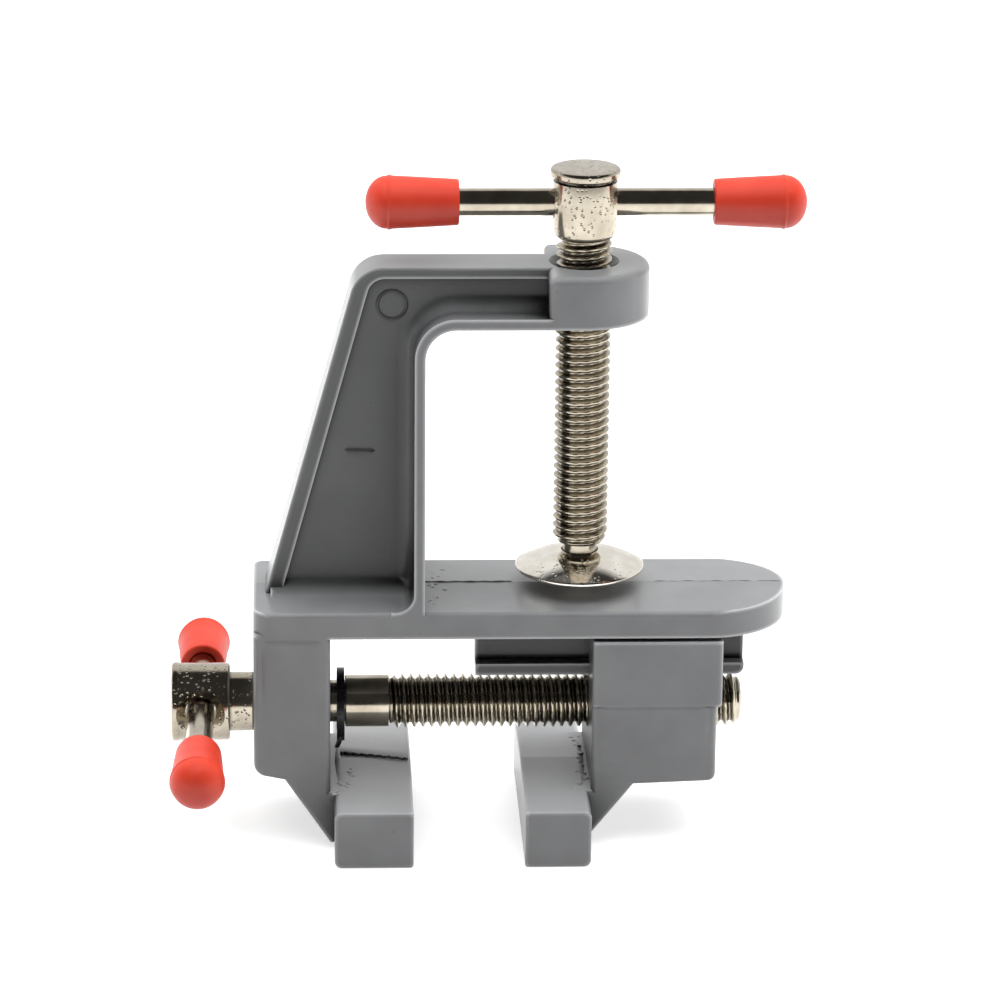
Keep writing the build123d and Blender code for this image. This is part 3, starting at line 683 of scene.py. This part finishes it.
def spatter(seed, count, corner_a, corner_b, spread, ridge_z):
    """Beads along a line on a top face: each is a low dome, a quarter ellipse turned about a vertical."""
    draw = np.random.default_rng(seed)
    along = draw.random((count, 1))
    place_xy = np.array(corner_a) + along * (np.array(corner_b) - np.array(corner_a))
    place_xy = place_xy + draw.normal(0, 1, (count, 2)) * np.array(spread)
    radius = BEAD_RADIUS + BEAD_RADIUS_SPREAD * draw.random(count) ** 2
    height = radius * (BEAD_HEIGHT + BEAD_HEIGHT_SPREAD * draw.random(count))
    share = np.array([0.0, 0.45, 0.8, 1.0, 1.0, 0.0])
    lift = np.array([1.0, 0.9, 0.6, 0.0, -1.0, -1.0])
    turn = np.linspace(0, 2 * np.pi, BEAD_POINTS)
    base_z = ridge_z - np.abs(place_xy[:, 1]) * DRAFT_SLOPE
    rise = np.where(lift > 0, lift * height[:, None], lift * SUNK)
    x = place_xy[:, 0, None, None] + radius[:, None, None] * share[:, None] * np.cos(turn)
    y = place_xy[:, 1, None, None] + radius[:, None, None] * share[:, None] * np.sin(turn)
    z = np.broadcast_to((base_z[:, None] + rise)[..., None], x.shape)
    return list(np.stack([x, y, z], axis=-1))


print("beads are", BEAD_RADIUS, "to", BEAD_RADIUS + BEAD_RADIUS_SPREAD, "mm in radius")

# %% [markdown]
# The height of a jaw's top at the parting plane follows from its end height, its half width and the draft.
# The fin runs the length of the plate and is tallest beside the column. The foot has pressed it flat where it
# lands.

# %% Where the mould marks are
frame_low, frame_high = (np.array(corner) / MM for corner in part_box("frame_casting"))
jaw_block_high = np.array(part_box("moving_jaw")[1]) / MM
JAW_END_HEIGHT, JAW_HALF_WIDTH = 8.35, 19.0
jaw_ridge_z = frame_low[2] + JAW_END_HEIGHT + JAW_HALF_WIDTH * DRAFT_SLOPE
FIN_START, FIN_END_GAP, FIN_WIDTH, FIN_SINK = -22.3, 0.1, 0.35, 0.02
FIN_HEIGHT, FIN_EXTRA, FIN_EXTRA_END = 0.05, 0.14, -9
FIN_WANDER, FIN_WANDER_RATE, FIN_WAVE_RATES = 0.06, 1.7, (2.3, 0.7)
FIN_POINTS, FOOT_PRINT_GAP = 150, 0.4
fin_x = np.linspace(FIN_START, frame_high[0] - FIN_END_GAP, FIN_POINTS)
fin_y = FIN_WANDER * np.sin(fin_x * FIN_WANDER_RATE)
fin_waves = 1 + np.sin(fin_x * FIN_WAVE_RATES[0]) * np.sin(fin_x * FIN_WAVE_RATES[1])
fin_height = FIN_HEIGHT * fin_waves + FIN_EXTRA * (fin_x < FIN_EXTRA_END)
fin_height = fin_height * (np.abs(fin_x) > foot_radius + FOOT_PRINT_GAP)
STEP_ENDS_X, STEP_POINTS = (-34.3, -24.5), 60
STEP_EDGE_Y, STEP_BACK_Y, STEP_HEIGHTS = (1.6, -0.9), 17.5, (0.6, 0.45)
STEP_RIPPLES = ((0.12, 5), (0.08, 11))
step_x = np.linspace(*STEP_ENDS_X, STEP_POINTS)
step_edge = np.interp(step_x, STEP_ENDS_X, STEP_EDGE_Y)
for ripple, rate in STEP_RIPPLES:
    step_edge = step_edge + ripple * np.sin(step_x * rate)
step_height = np.interp(step_x, STEP_ENDS_X, STEP_HEIGHTS)
BLOCK_FACE_Y, SKIN_FADE = 11.65, 0.9
FIXED_SKIN_POINTS, MOVING_SKIN_POINTS = 16, 20
FIXED_SKIN_INSET, FIXED_SKIN_END = 0.9, -36.6
MOVING_SKIN_START, MOVING_SKIN_INSET = 2.2, 1.6
FIXED_SKIN_TOP, FIXED_SKIN_LOW, FIXED_LEDGE = -4.3, -22.0, 0.22
MOVING_SKIN_DEPTH, MOVING_SKIN_LOW, MOVING_LEDGE = 9.4, -24.8, 0.44
moving_skin_top = jaw_block_high[2] - MOVING_SKIN_DEPTH
fixed_x = np.linspace(frame_low[0] + FIXED_SKIN_INSET, FIXED_SKIN_END, FIXED_SKIN_POINTS)
moving_x = np.linspace(MOVING_SKIN_START, jaw_block_high[0] - MOVING_SKIN_INSET, MOVING_SKIN_POINTS)
WEB_FACE_Y = -3.35
PIN_PRINT_AT = (-27.05, WEB_FACE_Y, 42.45)
DASH_ENDS = ((-33.7, WEB_FACE_Y, 21.1), (-29.3, WEB_FACE_Y, 21.0))
print("jaw tops meet the parting plane at height", jaw_ridge_z.round(2), "mm")

# %% [markdown]
# The marks of the frame are one piece and ride with the frame, and those of the moving jaw ride with it.

# %% Build the mould marks
# Shares of painted shade on the mould marks, carried by the marked attribute.
WEB_MARK_SHADE, FIN_MARK_SHADE, TRACE_OF_MARK_SHADE = 0.75, 0.4, 0.02
WEB_ABOVE, FIN_ABOVE, FIN_REACH = 5, -1, 0.4


def frame_mark_shade(points):
    """Painted shade: most on the print and the bead of the web, less on the plate's fin, a trace on the rest.
    """
    on_web = points[:, 2] > WEB_ABOVE
    on_fin = (np.abs(points[:, 1]) < FIN_REACH) & (points[:, 2] > FIN_ABOVE)
    return np.where(on_web, WEB_MARK_SHADE, np.where(on_fin, FIN_MARK_SHADE, TRACE_OF_MARK_SHADE))


def skins(x_points, top_z, low_z, ledge):
    """The drafted skins of both sides of a block."""
    return [
        drafted_face(x_points, side * BLOCK_FACE_Y, top_z, low_z, ledge, SKIN_FADE) for side in (-1, 1)
    ]


frame_marks = [
    fin(fin_x, fin_y, 0 * fin_x - FIN_SINK, FIN_WIDTH, fin_height),
    *skins(fixed_x, FIXED_SKIN_TOP, FIXED_SKIN_LOW, FIXED_LEDGE),
    pin_print(PIN_PRINT_AT, radius=2.05, width=0.5, height=0.24),
    gate_dash(*DASH_ENDS, width=0.6, height=0.42),
    parting_step(step_x, step_edge, STEP_BACK_Y, jaw_ridge_z, step_height),
    *spatter(3, 16, (-21.6, -9.0), (-20.8, 6.0), spread=(1.0, 1.0), ridge_z=0.0),
    *spatter(5, 18, (-34.6, -12.5), (-32.2, -3.5), spread=(0.5, 0.8), ridge_z=jaw_ridge_z),
]
marks = sewn_piece("frame_mould_marks", frame_marks, frame_mark_shade)
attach(marks, "frame")
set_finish(marks, "cast_paint")
moving_marks = [
    *skins(moving_x, moving_skin_top, MOVING_SKIN_LOW, MOVING_LEDGE),
    *spatter(8, 22, (0.3, -14.0), (0.5, 12.0), spread=(0.4, 1.5), ridge_z=jaw_ridge_z),
]
# A trace of painted shade on the jaw's marks.
jaw_marks = sewn_piece("jaw_mould_marks", moving_marks, lambda points: TRACE_OF_MARK_SHADE)
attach(jaw_marks, "sliding_jaw")
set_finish(jaw_marks, "cast_paint")


# %% [markdown]
# ## Finishes
#
# Each finish starts from what the real surface is. Most colours are written as sRGB hex values, as a paint
# chart gives them, and one function turns them into the linear numbers that the shader works with. Pattern
# sizes are given in millimetres: a texture's scale is one over that size in metres.

# %% Colour and node helpers
def linear(hex_colour):
    """sRGB hex to linear red, green, blue and alpha: the standard curve with its straight foot."""
    code = np.array([int(hex_colour[i:i + 2], 16) for i in (1, 3, 5)]) / 255
    value = np.where(code <= 0.04045, code / 12.92, ((code + 0.055) / 1.055) ** 2.4)
    return (*value, 1.0)


def grey(value):
    """A neutral linear colour, mostly one that scales another."""
    return (value, value, value, 1.0)


def node(tree, kind, inputs=None, **settings):
    """Adds one node with its settings. An input given as a socket is linked, and one given as a value set."""
    made = tree.nodes.new(kind)
    for name, value in settings.items():
        setattr(made, name, value)
    for name, value in (inputs or {}).items():
        if isinstance(value, bpy.types.NodeSocket):
            tree.links.new(value, made.inputs[name])
        else:
            made.inputs[name].default_value = value
    return made


def finish(name, **values):
    """A material with one Principled shader whose sockets hold the given values, and its node tree."""
    material = bpy.data.materials.new(name)
    material.use_nodes = True
    shader = next(n for n in material.node_tree.nodes if n.type == "BSDF_PRINCIPLED")
    for socket, value in values.items():
        shader.inputs[socket.replace("_", " ")].default_value = value
    return material, material.node_tree, shader


def object_place(tree):
    """The place on the object, which a pattern follows when the object moves."""
    return node(tree, "ShaderNodeTexCoord").outputs["Object"]


print("paint grey in linear numbers:", np.round(linear("#676869")[:3], 3))

# %% [markdown]
# A finish is a chain of patterns, ranges and blends. Each helper adds one link of the chain and gives back
# the socket that the next one takes.

# %% Pattern helpers
def noise(tree, where, size, detail):
    """Value of a soft noise whose features are this many millimetres wide."""
    inputs = {"Vector": where, "Scale": 1 / (size * MM), "Detail": detail}
    return node(tree, "ShaderNodeTexNoise", inputs).outputs["Fac"]


def cells(tree, where, size):
    """Distance to the nearest of points scattered this many millimetres apart."""
    return node(tree, "ShaderNodeTexVoronoi", {"Vector": where, "Scale": 1 / (size * MM)}).outputs["Distance"]


def openness(tree, reach, **settings):
    """How free the surface is of other surface of its own piece within a reach in millimetres."""
    inputs = {"Distance": reach * MM}
    return node(
        tree, "ShaderNodeAmbientOcclusion", inputs, only_local=True, samples=8, **settings
    ).outputs["AO"]


def ramp(tree, source, low, high, low_colour, high_colour):
    """A colour ramp between two positions of a texture's value."""
    made = node(tree, "ShaderNodeValToRGB", {"Fac": source})
    made.color_ramp.elements[0].position, made.color_ramp.elements[1].position = low, high
    made.color_ramp.elements[0].color, made.color_ramp.elements[1].color = low_colour, high_colour
    return made.outputs["Color"]


def ranged(tree, source, low, high, at_low, at_high, **settings):
    """A value carried from one range to another and held at its ends."""
    inputs = {"Value": source, "From Min": low, "From Max": high, "To Min": at_low, "To Max": at_high}
    return node(tree, "ShaderNodeMapRange", inputs, **settings).outputs["Result"]


def calc(tree, operation, *terms):
    """One step of arithmetic on sockets or values."""
    return node(tree, "ShaderNodeMath", dict(enumerate(terms)), operation=operation).outputs[0]


def mixed(tree, share, first, second, blend="MIX"):
    """Two colours blended by a share of the second."""
    inputs = {"Factor": share, "A": first, "B": second}
    return node(tree, "ShaderNodeMix", inputs, data_type="RGBA", blend_type=blend).outputs["Result"]


def bump(tree, height, strength, depth, **settings):
    """Normals bent by a height, whose full range is this many millimetres deep."""
    inputs = {"Height": height, "Strength": strength, "Distance": depth * MM}
    return node(tree, "ShaderNodeBump", inputs, **settings)


WHITE, DARK_ROOM = grey(1.0), grey(0.05)
print("white is", WHITE[0], "and the dark part of the room", DARK_ROOM[0])


# %% [markdown]
# ### Grey paint on the castings
#
# The castings were sprayed with a semi-gloss grey. Paint on a rough casting shows a soft orange peel about
# half a millimetre wide, slow waves from the casting underneath, and a few pits where dust or pores broke the
# film.

# %% Paint and its pits
cast_paint, tree, shader = finish(
    "grey_paint_on_casting", Specular_IOR_Level=0.2, Coat_Weight=0.4, Coat_Roughness=0.2
)
where = object_place(tree)
waves = noise(tree, where, size=9.0, detail=3.0)
tone = ramp(tree, waves, 0.3, 0.7, linear("#676869"), linear("#717273"))
off_pits = ranged(tree, cells(tree, where, size=4.5), 0.02, 0.05, 0.0, 1.0)
paint_colour = mixed(tree, off_pits, (0.12, 0.12, 0.125, 1.0), tone)
tree.links.new(ranged(tree, waves, 0.0, 1.0, 0.28, 0.37), shader.inputs["Roughness"])
peel_bump = bump(tree, noise(tree, where, size=0.55, detail=2.0), strength=0.25, depth=0.04)
wave_bump = bump(tree, waves, strength=0.2, depth=0.25)
tree.links.new(peel_bump.outputs["Normal"], wave_bump.inputs["Normal"])
tree.links.new(wave_bump.outputs["Normal"], shader.inputs["Normal"])
print("paint", cast_paint.name)

# %% [markdown]
# In deep corners and on the recessed sides of the web the colour is darkened as painted shade: by how close
# other surface of the piece lies, and on the web's sides by how near they are to the parting plane. The plate
# and the tops of the jaws look up, so they are kept out of the corner shade.

# %% Painted shade in corners and recesses
COLUMN_FOOT, COLUMN_ABOVE = 1 * MM, 6 * MM
RECESS_INNER, RECESS_OUTER = 4.4 * MM, 8.0 * MM
spot = node(tree, "ShaderNodeSeparateXYZ", {"Vector": where}).outputs
normal = node(tree, "ShaderNodeNewGeometry").outputs["Normal"]
facing = node(tree, "ShaderNodeSeparateXYZ", {"Vector": normal}).outputs
faces_up = ranged(tree, facing["Z"], 0.5, 0.9, 0.0, 0.9)
below_column = ranged(tree, spot["Z"], COLUMN_FOOT, COLUMN_ABOVE, 1.0, 0.0)
corner_shade_share = calc(tree, "SUBTRACT", 1.0, calc(tree, "MULTIPLY", faces_up, below_column))
# Painted shade: the paint's colour goes dark where other surface of the piece lies within 18 mm.
painted_corner_shade = ramp(tree, openness(tree, reach=18), 0.5, 0.95, grey(0.03), WHITE)
corner_shaded_colour = mixed(tree, corner_shade_share, paint_colour, painted_corner_shade, "MULTIPLY")
off_parting = calc(tree, "ABSOLUTE", spot["Y"])
sunk_in = ranged(
    tree, off_parting, RECESS_INNER, RECESS_OUTER, 1.0, 0.0, interpolation_type="SMOOTHSTEP"
)
sunk_side = calc(tree, "MULTIPLY", sunk_in, calc(tree, "ABSOLUTE", facing["Y"]))
# Painted shade on the web's recessed sides, down to half the colour.
painted_web_shade = ramp(tree, sunk_side, 0.3, 0.9, WHITE, grey(0.5))
shaded_paint_colour = mixed(tree, 1.0, corner_shaded_colour, painted_web_shade, "MULTIPLY")
# The printed distance is how near the parting plane the web's painted shade is full.
print("thin film within", round(RECESS_INNER / MM, 1), "mm of the parting plane")

# %% [markdown]
# The jaw tops and all outer edges are mixed towards a pale grey: partly paint rubbed by use, partly painted
# light, as painted light on the jaw tops under the plate and a painted highlight along the edges. The marks
# of the mould are darkened with painted shade. The small pieces that carry those marks have no pale edges.

# %% Wear, painted highlights and painted shade
JAW_TOP_LOW, JAW_TOP_HIGH, TOP_WEAR_AND_LIGHT = -26 * MM, -25 * MM, 0.25
EDGE_REACH, EDGE_WEAR_AND_HIGHLIGHT = 0.65, 0.55
LEAST_MARK_SHADE = 0.01
pale_wear_and_light_colour = linear("#c9cacc")
# Pale jaw tops: partly wear, partly painted light.
jaw_top_wear_and_light = ranged(tree, spot["Z"], JAW_TOP_LOW, JAW_TOP_HIGH, TOP_WEAR_AND_LIGHT, 0.0)
worn_and_lit_colour = mixed(tree, calc(tree, "MULTIPLY", jaw_top_wear_and_light, faces_up), shaded_paint_colour, pale_wear_and_light_colour)
mark_shade = node(tree, "ShaderNodeAttribute", attribute_name="marked").outputs["Fac"]
# Pale outer edges: partly rubbed paint, partly a painted highlight.
edge_wear_and_highlight = ranged(tree, openness(tree, EDGE_REACH, inside=True), 0.55, 0.9, EDGE_WEAR_AND_HIGHLIGHT, 0.0)
on_casting = calc(tree, "LESS_THAN", mark_shade, LEAST_MARK_SHADE)
rubbed_and_highlit_colour = mixed(tree, calc(tree, "MULTIPLY", edge_wear_and_highlight, on_casting), worn_and_lit_colour, pale_wear_and_light_colour)
# Dark mould marks: painted shade from the marked attribute.
mark_shaded_colour = mixed(tree, mark_shade, rubbed_and_highlit_colour, linear("#1d1d1f"))
tree.links.new(mark_shaded_colour, shader.inputs["Base Color"])
# The printed reach bounds the pale edges, rubbed paint and painted highlight.
print("edges are rubbed within", EDGE_REACH, "mm")

# %% [markdown]
# ### Bright nickel plate
#
# Nickel is a slightly warm white metal. The plating follows the turned steel below, so the heads keep shallow
# pits a third of a millimetre wide, while the gloss stays high. Painted shade darkens the roots of the
# threads and other crevices. The pressed foot has a brighter copy of the plate, which paints light into its
# colour.

# %% Nickel
CREVICE_REACH = 0.9
crevice_shade_colour = (0.06, 0.055, 0.05, 1.0)


def nickel_plate(name, dull, bright, gloss):
    """Metal whose colour and gloss follow one slow noise, with pits where it is marked and painted shade in
    crevices.
    """
    material, tree, shader = finish(name, Metallic=1.0)
    where = object_place(tree)
    stain = noise(tree, where, size=3.0, detail=4.0)
    plate_colour = ramp(tree, stain, 0.3, 0.75, linear(dull), linear(bright))
    # Painted shade: the colour goes dark where other surface of the piece lies within the crevice reach.
    painted_crevice_shade = ramp(tree, openness(tree, CREVICE_REACH), 0.32, 0.75, crevice_shade_colour, WHITE)
    tree.links.new(mixed(tree, 1.0, plate_colour, painted_crevice_shade, "MULTIPLY"), shader.inputs["Base Color"])
    tree.links.new(ranged(tree, stain, 0.0, 1.0, *gloss), shader.inputs["Roughness"])
    grit_bump = bump(tree, noise(tree, where, size=0.45, detail=3.0), strength=0.12, depth=0.04)
    pit_hollow = ranged(tree, cells(tree, where, size=0.62), 0.12, 0.34, 1.0, 0.0)
    pit_patch = ranged(tree, stain, 0.42, 0.54, 0.0, 1.0)
    pitted = node(tree, "ShaderNodeAttribute", attribute_name="marked").outputs["Fac"]
    pit_depth = calc(tree, "MULTIPLY", pit_hollow, calc(tree, "MULTIPLY", pit_patch, pitted))
    pit_bump = bump(tree, pit_depth, strength=0.8, depth=0.12, invert=True)
    tree.links.new(grit_bump.outputs["Normal"], pit_bump.inputs["Normal"])
    tree.links.new(pit_bump.outputs["Normal"], shader.inputs["Normal"])
    return material


nickel = nickel_plate("bright_nickel_plate", "#a09787", "#c0b8a8", (0.08, 0.24))
# A brighter copy of the plate for the foot: painted light in its colour.
foot_lit_nickel = nickel_plate("lit_copy_nickel_plate", "#d2ccc0", "#efebe2", (0.05, 0.15))
print("plate", nickel.name, "and", foot_lit_nickel.name)

# %% [markdown]
# ### Red dipped vinyl and black spring steel
#
# Soft vinyl is slightly translucent and satin. The clip is spring steel with a black oxide skin, dark and a
# little oily.

# %% Vinyl and clip
red_vinyl, tree, shader = finish(
    "red_soft_vinyl", Roughness=0.48, Subsurface_Weight=0.2, Subsurface_Scale=0.0015
)
where = object_place(tree)
blush = ramp(tree, noise(tree, where, size=5.0, detail=3.0), 0.3, 0.75, linear("#ab2812"), linear("#b8351f"))
tree.links.new(blush, shader.inputs["Base Color"])
skin_bump = bump(tree, noise(tree, where, size=0.6, detail=2.0), strength=0.15, depth=0.04)
tree.links.new(skin_bump.outputs["Normal"], shader.inputs["Normal"])

black_steel, tree, shader = finish("black_oxide_spring_steel", Metallic=0.6, Roughness=0.38)
scuff = noise(tree, object_place(tree), size=0.8, detail=4.0)
oxide = ramp(tree, scuff, 0.35, 0.8, linear("#161617"), linear("#3a3a3c"))
tree.links.new(oxide, shader.inputs["Base Color"])
finishes = {"cast_paint": cast_paint, "nickel": nickel, "red_vinyl": red_vinyl, "black_steel": black_steel}
print("finishes:", sorted(finishes))


# %% [markdown]
# ## Giving each piece its finish
#
# The foot has its own, brighter copy of the plate in the same slot, which paints light into its colour.

# %% Assign the finishes
slots = {row["node"]: row["material_slot"] for row in frame["record"]["subparts"]}
for name, cad_object in frame["nodes"].items():
    cad_object.data.materials.clear()
    cad_object.data.materials.append(finishes[slots[name]])
for piece in bpy.data.objects:
    if piece.type == "MESH" and "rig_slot" in piece:
        piece.data.materials.clear()
        piece.data.materials.append(foot_lit_nickel if piece == foot_piece else finishes[piece["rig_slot"]])


# %% [markdown]
# ## Studio
#
# A pale floor under the jaw ends, soft boxes above and to both sides, and an even background. The world is
# white for the camera and behind the object, and darker overhead and in front, because bright metal only
# reads as metal when it has something dark to mirror.

# %% Floor
FLOOR_GAP, FLOOR_REACH = 0.00005, 3.0
PAPER_LIFT = 0.58
floor_z = frame_low[2] * MM - FLOOR_GAP
floor_mesh = bpy.data.meshes.new("floor")
floor_corners = [(x * FLOOR_REACH, y * FLOOR_REACH, floor_z) for x, y in ((-1, -1), (1, -1), (1, 1), (-1, 1))]
floor_mesh.from_pydata(floor_corners, [], [(0, 1, 2, 3)])
floor = bpy.data.objects.new("floor", floor_mesh)
bpy.context.scene.collection.objects.link(floor)
floor_paint, tree, shader = finish(
    "floor_paper", Roughness=0.9, Specular_IOR_Level=0.0, Base_Color=linear("#c4c4c4"), Emission_Color=WHITE
)
seen_by = node(tree, "ShaderNodeLightPath").outputs
seen_or_mirrored = calc(tree, "MAXIMUM", seen_by["Is Camera Ray"], seen_by["Is Glossy Ray"])
seen_at_all = calc(tree, "MAXIMUM", seen_or_mirrored, seen_by["Is Transmission Ray"])
tree.links.new(calc(tree, "MULTIPLY", seen_at_all, PAPER_LIFT), shader.inputs["Emission Strength"])
floor_mesh.materials.append(floor_paint)
print("floor at", round(floor_z / MM, 2), "mm")

# %% [markdown]
# The world is one gradient, bright all round and dark overhead towards the camera. Metal mirrors it at full
# strength, it lights everything else more weakly, and the camera sees plain white instead.

# %% World
TOWARDS_ROOM = (0.0, -0.5, 0.866)
AMBIENT_STRENGTH = 0.6
world = bpy.data.worlds.new("studio")
bpy.context.scene.world = world
world.use_nodes = True
tree = world.node_tree
tree.nodes.clear()
direction = node(tree, "ShaderNodeTexCoord").outputs["Generated"]
towards_room = node(tree, "ShaderNodeVectorMath", {0: direction, 1: TOWARDS_ROOM}, operation="DOT_PRODUCT")
mirror_sky = ramp(tree, towards_room.outputs["Value"], 0.36, 0.52, WHITE, DARK_ROOM)
ray = node(tree, "ShaderNodeLightPath").outputs
ambient = node(tree, "ShaderNodeBackground", {"Color": mirror_sky, "Strength": AMBIENT_STRENGTH}).outputs[0]
mirrored = node(tree, "ShaderNodeBackground", {"Color": mirror_sky, "Strength": 1.0}).outputs[0]
backdrop = node(tree, "ShaderNodeBackground", {"Color": WHITE, "Strength": 1.0}).outputs[0]
for_metal = node(
    tree, "ShaderNodeMixShader", {"Fac": ray["Is Glossy Ray"], 1: ambient, 2: mirrored}
).outputs[0]
seen = calc(tree, "MAXIMUM", ray["Is Camera Ray"], ray["Is Transmission Ray"])
for_eye = node(tree, "ShaderNodeMixShader", {"Fac": seen, 1: for_metal, 2: backdrop}).outputs[0]
node(tree, "ShaderNodeOutputWorld", {"Surface": for_eye})
print("world", world.name)

# %% [markdown]
# One large lamp hangs above and a weak one stands on each side, the right one twice as strong as the left.

# %% Lamps
VISE_MIDDLE = Vector((-0.01, 0, 0.01))


def soft_box(name, place_m, size, power):
    """A square lamp aimed at the middle of the vise. Metal does not mirror it."""
    lamp = bpy.data.lights.new(name, "AREA")
    lamp.shape, lamp.size, lamp.energy = "SQUARE", size, power
    holder = bpy.data.objects.new(name, lamp)
    bpy.context.scene.collection.objects.link(holder)
    holder.location = place_m
    holder.rotation_euler = (VISE_MIDDLE - Vector(place_m)).to_track_quat("-Z", "Y").to_euler()
    holder.visible_glossy = False


soft_box("soft_box_above", (0.0, -0.02, 0.92), size=1.3, power=28.0)
soft_box("soft_box_left", (-0.9, 0.1, 0.2), size=0.6, power=4.0)
soft_box("soft_box_right", (0.9, 0.1, 0.2), size=0.6, power=8.0)
bpy.context.scene.view_settings.view_transform = "Standard"
